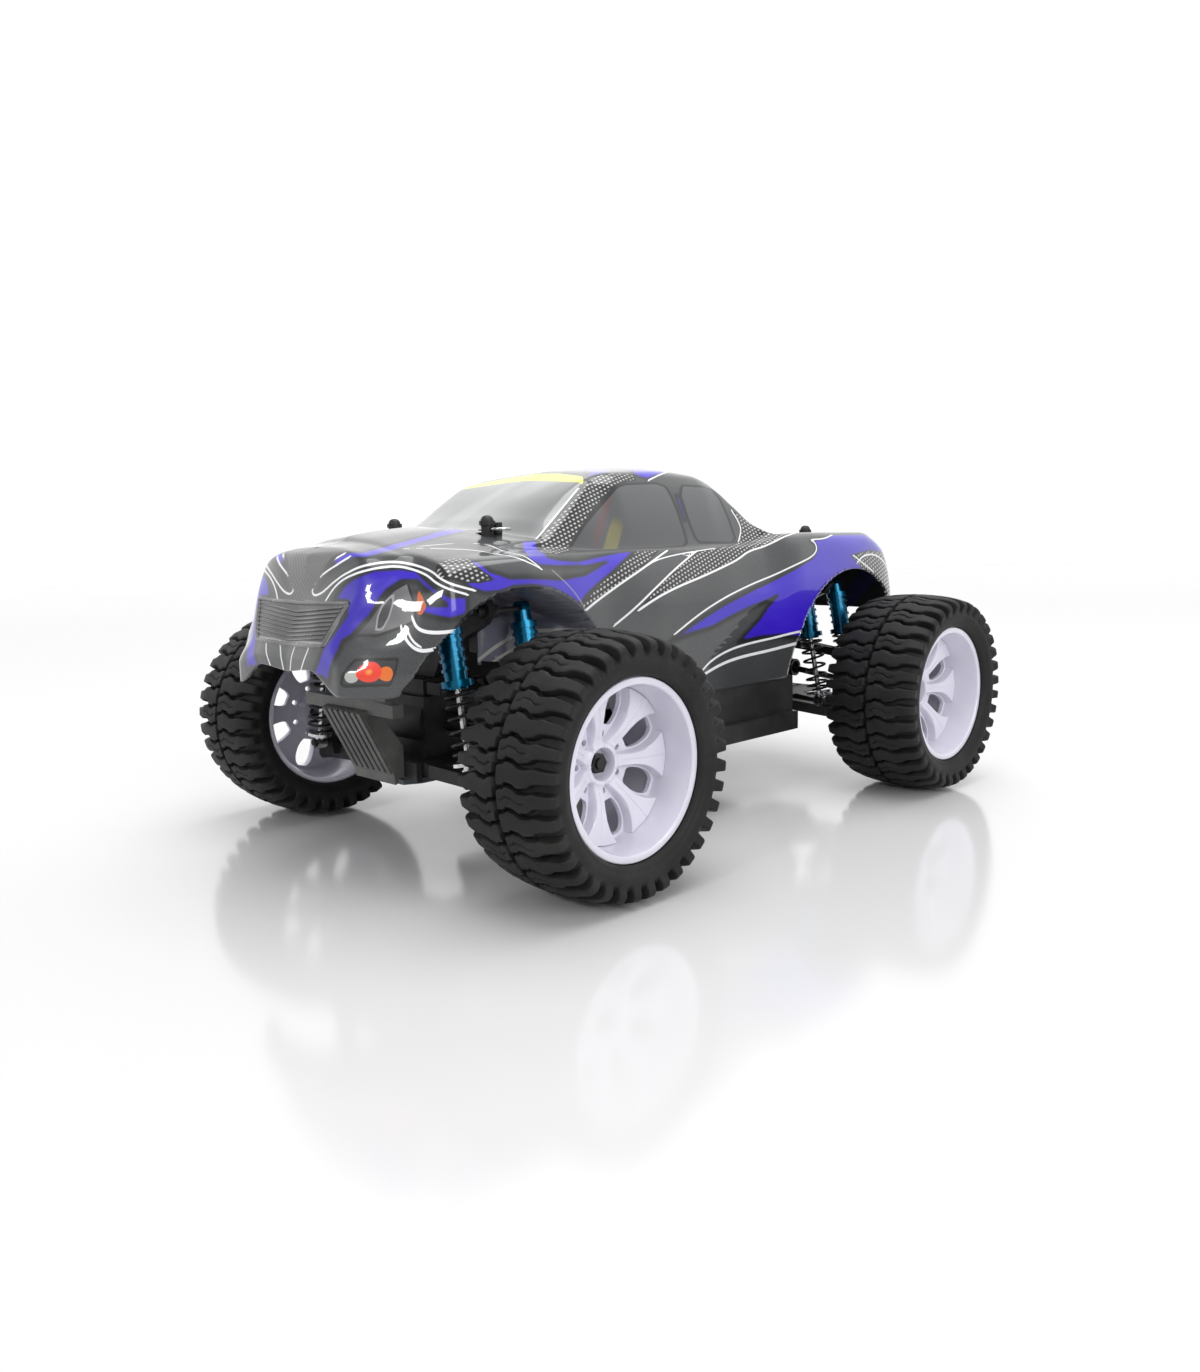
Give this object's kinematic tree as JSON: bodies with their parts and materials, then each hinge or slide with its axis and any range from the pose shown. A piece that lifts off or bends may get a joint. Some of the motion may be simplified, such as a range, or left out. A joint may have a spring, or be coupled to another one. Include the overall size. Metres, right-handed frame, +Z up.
{
  "type": "remote-control monster truck",
  "caption": "Electric monster truck toy with a clip-on pickup shell, big block tyres, sprung arms, steering and shaft drive.",
  "frame": {"origin": "on the ground, under the middle of the overall length and width", "axes": "+X to the front, +Y to the truck's left, +Z up"},
  "size_m": [0.4144, 0.293, 0.1934],
  "materials": {
    "alloy": "anodised plate",
    "battery_wrap": "shrink wrap",
    "black_plastic": "moulded nylon",
    "blue_alloy": "blue anodised",
    "electronic_case": "moulded case",
    "grey_plastic": "moulded nylon",
    "motor_can": "drawn can",
    "shell": "painted polycarbonate, clear gloss",
    "spring_steel": "black coated wire",
    "steel": "polished",
    "tyre": "soft rubber",
    "white_plastic": "glossy moulded nylon"
  },
  "bodies": {
    "chassis": {"chassis_plate": "alloy", "side_guards": "black_plastic", "front_bumper": "grey_plastic", "gearboxes": "black_plastic", "shock_towers": "black_plastic", "body_posts": "black_plastic", "body_clips": "steel", "body_shell": "shell", "motor": "motor_can", "battery": "battery_wrap", "electronics": "electronic_case"},
    "front_left_lower_arm": {"front_left_lower_arm": "black_plastic"},
    "front_left_upper_arm": {"front_left_upper_arm": "black_plastic"},
    "front_left_caster_block": {"front_left_caster_block": "black_plastic"},
    "front_left_drive_shaft": {"front_left_drive_shaft": "steel"},
    "front_left_dampers": {"front_left_shock_bodies": "blue_alloy"},
    "front_left_damper_rods": {"front_left_shock_shafts": "steel", "front_left_shock_springs": "spring_steel"},
    "front_left_wheel": {"front_left_rim": "white_plastic", "front_left_tyre": "tyre", "front_left_wheel_axle": "spring_steel"},
    "steering_knuckle_left": {"steering_knuckle_left": "black_plastic"},
    "front_right_lower_arm": {"front_right_lower_arm": "black_plastic"},
    "front_right_upper_arm": {"front_right_upper_arm": "black_plastic"},
    "front_right_caster_block": {"front_right_caster_block": "black_plastic"},
    "front_right_drive_shaft": {"front_right_drive_shaft": "steel"},
    "front_right_dampers": {"front_right_shock_bodies": "blue_alloy"},
    "front_right_damper_rods": {"front_right_shock_shafts": "steel", "front_right_shock_springs": "spring_steel"},
    "front_right_wheel": {"front_right_rim": "white_plastic", "front_right_tyre": "tyre", "front_right_wheel_axle": "spring_steel"},
    "steering_knuckle_right": {"steering_knuckle_right": "black_plastic"},
    "rear_left_lower_arm": {"rear_left_lower_arm": "black_plastic"},
    "rear_left_upper_arm": {"rear_left_upper_arm": "black_plastic"},
    "rear_left_hub_carrier": {"rear_left_hub_carrier": "black_plastic"},
    "rear_left_drive_shaft": {"rear_left_drive_shaft": "steel"},
    "rear_left_dampers": {"rear_left_shock_bodies": "blue_alloy"},
    "rear_left_damper_rods": {"rear_left_shock_shafts": "steel", "rear_left_shock_springs": "spring_steel"},
    "rear_left_wheel": {"rear_left_rim": "white_plastic", "rear_left_tyre": "tyre", "rear_left_wheel_axle": "spring_steel"},
    "rear_right_lower_arm": {"rear_right_lower_arm": "black_plastic"},
    "rear_right_upper_arm": {"rear_right_upper_arm": "black_plastic"},
    "rear_right_hub_carrier": {"rear_right_hub_carrier": "black_plastic"},
    "rear_right_drive_shaft": {"rear_right_drive_shaft": "steel"},
    "rear_right_dampers": {"rear_right_shock_bodies": "blue_alloy"},
    "rear_right_damper_rods": {"rear_right_shock_shafts": "steel", "rear_right_shock_springs": "spring_steel"},
    "rear_right_wheel": {"rear_right_rim": "white_plastic", "rear_right_tyre": "tyre", "rear_right_wheel_axle": "spring_steel"},
    "servo_saver": {"servo_saver": "black_plastic"},
    "steering_idler": {"steering_idler": "black_plastic"},
    "drag_link": {"drag_link": "black_plastic"},
    "tie_rod_left": {"tie_rod_left": "steel"},
    "tie_rod_right": {"tie_rod_right": "steel"},
    "centre_shaft": {"centre_shaft": "black_plastic"},
    "motor_pinion": {"motor_pinion": "steel"}
  },
  "joints": [
    {"name": "front_left_lower_arm_hinge", "type": "hinge", "parent": "chassis", "child": "front_left_lower_arm", "pos_m": [0.1265, 0.022, 0.048], "axis": [1, 0, 0], "range_deg": [-7, 13], "stiffness_Nm_per_rad": 2.2, "springref_deg": -5.47},
    {"name": "front_left_carrier_hinge", "type": "hinge", "parent": "front_left_lower_arm", "child": "front_left_caster_block", "pos_m": [0.1265, 0.084, 0.04], "axis": [1, 0, 0], "range_deg": [-13, 7]},
    {"name": "front_left_upper_arm_hinge", "type": "hinge", "parent": "chassis", "child": "front_left_upper_arm", "pos_m": [0.1265, 0.022, 0.084], "axis": [1, 0, 0], "range_deg": [-7, 13]},
    {"name": "front_left_drive_shaft_hinge", "type": "hinge", "parent": "chassis", "child": "front_left_drive_shaft", "pos_m": [0.1265, 0.026, 0.0665], "axis": [1, 0, 0], "range_deg": [-7, 13]},
    {"name": "front_left_damper_swing", "type": "hinge", "parent": "chassis", "child": "front_left_dampers", "pos_m": [0.1265, 0.05, 0.122], "axis": [1, 0, 0], "range_deg": [-1.5, 1.5]},
    {"name": "front_left_damper_stroke", "type": "slide", "parent": "front_left_dampers", "child": "front_left_damper_rods", "axis": [0, -0.1909, 0.9816], "range_m": [-0.0055, 0.01], "deforming": ["front_left_shock_springs"]},
    {"name": "steer_left", "type": "hinge", "parent": "front_left_caster_block", "child": "steering_knuckle_left", "pos_m": [0.1265, 0.088, 0.0585], "axis": [0, 0, 1], "range_deg": [-20, 20]},
    {"name": "front_left_wheel_spin", "type": "hinge", "parent": "steering_knuckle_left", "child": "front_left_wheel", "pos_m": [0.1265, 0.1175, 0.0585], "axis": [0, 1, 0], "continuous": true},
    {"name": "front_right_lower_arm_hinge", "type": "hinge", "parent": "chassis", "child": "front_right_lower_arm", "pos_m": [0.1265, -0.022, 0.048], "axis": [-1, 0, 0], "range_deg": [-7, 13], "stiffness_Nm_per_rad": 2.2, "springref_deg": -5.47},
    {"name": "front_right_carrier_hinge", "type": "hinge", "parent": "front_right_lower_arm", "child": "front_right_caster_block", "pos_m": [0.1265, -0.084, 0.04], "axis": [-1, 0, 0], "range_deg": [-13, 7]},
    {"name": "front_right_upper_arm_hinge", "type": "hinge", "parent": "chassis", "child": "front_right_upper_arm", "pos_m": [0.1265, -0.022, 0.084], "axis": [-1, 0, 0], "range_deg": [-7, 13]},
    {"name": "front_right_drive_shaft_hinge", "type": "hinge", "parent": "chassis", "child": "front_right_drive_shaft", "pos_m": [0.1265, -0.026, 0.0665], "axis": [-1, 0, 0], "range_deg": [-7, 13]},
    {"name": "front_right_damper_swing", "type": "hinge", "parent": "chassis", "child": "front_right_dampers", "pos_m": [0.1265, -0.05, 0.122], "axis": [-1, 0, 0], "range_deg": [-1.5, 1.5]},
    {"name": "front_right_damper_stroke", "type": "slide", "parent": "front_right_dampers", "child": "front_right_damper_rods", "axis": [0, 0.1909, 0.9816], "range_m": [-0.0055, 0.01], "deforming": ["front_right_shock_springs"]},
    {"name": "steer_right", "type": "hinge", "parent": "front_right_caster_block", "child": "steering_knuckle_right", "pos_m": [0.1265, -0.088, 0.0585], "axis": [0, 0, 1], "range_deg": [-20, 20]},
    {"name": "front_right_wheel_spin", "type": "hinge", "parent": "steering_knuckle_right", "child": "front_right_wheel", "pos_m": [0.1265, -0.1175, 0.0585], "axis": [0, 1, 0], "continuous": true},
    {"name": "rear_left_lower_arm_hinge", "type": "hinge", "parent": "chassis", "child": "rear_left_lower_arm", "pos_m": [-0.1485, 0.022, 0.048], "axis": [1, 0, 0], "range_deg": [-7, 13], "stiffness_Nm_per_rad": 2.2, "springref_deg": -5.47},
    {"name": "rear_left_carrier_hinge", "type": "hinge", "parent": "rear_left_lower_arm", "child": "rear_left_hub_carrier", "pos_m": [-0.1485, 0.084, 0.04], "axis": [1, 0, 0], "range_deg": [-13, 7]},
    {"name": "rear_left_upper_arm_hinge", "type": "hinge", "parent": "chassis", "child": "rear_left_upper_arm", "pos_m": [-0.1485, 0.022, 0.084], "axis": [1, 0, 0], "range_deg": [-7, 13]},
    {"name": "rear_left_drive_shaft_hinge", "type": "hinge", "parent": "chassis", "child": "rear_left_drive_shaft", "pos_m": [-0.1485, 0.026, 0.0665], "axis": [1, 0, 0], "range_deg": [-7, 13]},
    {"name": "rear_left_damper_swing", "type": "hinge", "parent": "chassis", "child": "rear_left_dampers", "pos_m": [-0.1485, 0.05, 0.122], "axis": [1, 0, 0], "range_deg": [-1.5, 1.5]},
    {"name": "rear_left_damper_stroke", "type": "slide", "parent": "rear_left_dampers", "child": "rear_left_damper_rods", "axis": [0, -0.1909, 0.9816], "range_m": [-0.0055, 0.01], "deforming": ["rear_left_shock_springs"]},
    {"name": "rear_left_wheel_spin", "type": "hinge", "parent": "rear_left_hub_carrier", "child": "rear_left_wheel", "pos_m": [-0.1485, 0.1175, 0.0585], "axis": [0, 1, 0], "continuous": true},
    {"name": "rear_right_lower_arm_hinge", "type": "hinge", "parent": "chassis", "child": "rear_right_lower_arm", "pos_m": [-0.1485, -0.022, 0.048], "axis": [-1, 0, 0], "range_deg": [-7, 13], "stiffness_Nm_per_rad": 2.2, "springref_deg": -5.47},
    {"name": "rear_right_carrier_hinge", "type": "hinge", "parent": "rear_right_lower_arm", "child": "rear_right_hub_carrier", "pos_m": [-0.1485, -0.084, 0.04], "axis": [-1, 0, 0], "range_deg": [-13, 7]},
    {"name": "rear_right_upper_arm_hinge", "type": "hinge", "parent": "chassis", "child": "rear_right_upper_arm", "pos_m": [-0.1485, -0.022, 0.084], "axis": [-1, 0, 0], "range_deg": [-7, 13]},
    {"name": "rear_right_drive_shaft_hinge", "type": "hinge", "parent": "chassis", "child": "rear_right_drive_shaft", "pos_m": [-0.1485, -0.026, 0.0665], "axis": [-1, 0, 0], "range_deg": [-7, 13]},
    {"name": "rear_right_damper_swing", "type": "hinge", "parent": "chassis", "child": "rear_right_dampers", "pos_m": [-0.1485, -0.05, 0.122], "axis": [-1, 0, 0], "range_deg": [-1.5, 1.5]},
    {"name": "rear_right_damper_stroke", "type": "slide", "parent": "rear_right_dampers", "child": "rear_right_damper_rods", "axis": [0, 0.1909, 0.9816], "range_m": [-0.0055, 0.01], "deforming": ["rear_right_shock_springs"]},
    {"name": "rear_right_wheel_spin", "type": "hinge", "parent": "rear_right_hub_carrier", "child": "rear_right_wheel", "pos_m": [-0.1485, -0.1175, 0.0585], "axis": [0, 1, 0], "continuous": true},
    {"name": "servo_saver_turn", "type": "hinge", "parent": "chassis", "child": "servo_saver", "pos_m": [0.0885, 0.012, 0.048], "axis": [0, 0, 1], "range_deg": [-20, 20]},
    {"name": "steering_idler_turn", "type": "hinge", "parent": "chassis", "child": "steering_idler", "pos_m": [0.0885, -0.012, 0.048], "axis": [0, 0, 1], "range_deg": [-20, 20]},
    {"name": "drag_link_pivot", "type": "hinge", "parent": "servo_saver", "child": "drag_link", "pos_m": [0.0585, 0.012, 0.053], "axis": [0, 0, 1], "range_deg": [-20, 20]},
    {"name": "tie_rod_left_tilt", "type": "hinge", "parent": "drag_link", "child": "tie_rod_left", "pos_m": [0.0965, 0.026, 0.06], "axis": [1, 0, 0], "range_deg": [-7, 13]},
    {"name": "tie_rod_right_tilt", "type": "hinge", "parent": "drag_link", "child": "tie_rod_right", "pos_m": [0.0965, -0.026, 0.06], "axis": [-1, 0, 0], "range_deg": [-7, 13]},
    {"name": "centre_shaft_spin", "type": "hinge", "parent": "chassis", "child": "centre_shaft", "pos_m": [-0.014, 0, 0.0665], "axis": [1, 0, 0], "continuous": true},
    {"name": "motor_pinion_spin", "type": "hinge", "parent": "chassis", "child": "motor_pinion", "pos_m": [-0.014, 0.03017, 0.062], "axis": [1, 0, 0], "continuous": true}
  ],
  "couplings": [
    {"joint": "front_left_carrier_hinge", "follows": "front_left_lower_arm_hinge", "ratio": -1},
    {"joint": "front_left_upper_arm_hinge", "follows": "front_left_lower_arm_hinge", "ratio": 1},
    {"joint": "front_left_drive_shaft_hinge", "follows": "front_left_lower_arm_hinge", "ratio": 1},
    {"joint": "front_left_damper_swing", "follows": "front_left_lower_arm_hinge", "ratio": 0.05},
    {"joint": "front_left_damper_stroke", "follows": "front_left_lower_arm_hinge", "m_per_rad": 0.041683},
    {"joint": "front_right_carrier_hinge", "follows": "front_right_lower_arm_hinge", "ratio": -1},
    {"joint": "front_right_upper_arm_hinge", "follows": "front_right_lower_arm_hinge", "ratio": 1},
    {"joint": "front_right_drive_shaft_hinge", "follows": "front_right_lower_arm_hinge", "ratio": 1},
    {"joint": "front_right_damper_swing", "follows": "front_right_lower_arm_hinge", "ratio": 0.05},
    {"joint": "front_right_damper_stroke", "follows": "front_right_lower_arm_hinge", "m_per_rad": 0.041683},
    {"joint": "steer_right", "follows": "steer_left", "ratio": 1},
    {"joint": "front_right_wheel_spin", "follows": "front_left_wheel_spin", "ratio": 1},
    {"joint": "rear_left_carrier_hinge", "follows": "rear_left_lower_arm_hinge", "ratio": -1},
    {"joint": "rear_left_upper_arm_hinge", "follows": "rear_left_lower_arm_hinge", "ratio": 1},
    {"joint": "rear_left_drive_shaft_hinge", "follows": "rear_left_lower_arm_hinge", "ratio": 1},
    {"joint": "rear_left_damper_swing", "follows": "rear_left_lower_arm_hinge", "ratio": 0.05},
    {"joint": "rear_left_damper_stroke", "follows": "rear_left_lower_arm_hinge", "m_per_rad": 0.041683},
    {"joint": "rear_left_wheel_spin", "follows": "front_left_wheel_spin", "ratio": 1},
    {"joint": "rear_right_carrier_hinge", "follows": "rear_right_lower_arm_hinge", "ratio": -1},
    {"joint": "rear_right_upper_arm_hinge", "follows": "rear_right_lower_arm_hinge", "ratio": 1},
    {"joint": "rear_right_drive_shaft_hinge", "follows": "rear_right_lower_arm_hinge", "ratio": 1},
    {"joint": "rear_right_damper_swing", "follows": "rear_right_lower_arm_hinge", "ratio": 0.05},
    {"joint": "rear_right_damper_stroke", "follows": "rear_right_lower_arm_hinge", "m_per_rad": 0.041683},
    {"joint": "rear_right_wheel_spin", "follows": "front_left_wheel_spin", "ratio": 1},
    {"joint": "servo_saver_turn", "follows": "steer_left", "ratio": 1},
    {"joint": "steering_idler_turn", "follows": "steer_left", "ratio": 1},
    {"joint": "drag_link_pivot", "follows": "steer_left", "ratio": -1},
    {"joint": "tie_rod_left_tilt", "follows": "front_left_lower_arm_hinge", "ratio": 1},
    {"joint": "tie_rod_right_tilt", "follows": "front_right_lower_arm_hinge", "ratio": 1},
    {"joint": "centre_shaft_spin", "follows": "front_left_wheel_spin", "ratio": 2.9231},
    {"joint": "motor_pinion_spin", "follows": "front_left_wheel_spin", "ratio": -7.5656}
  ]
}
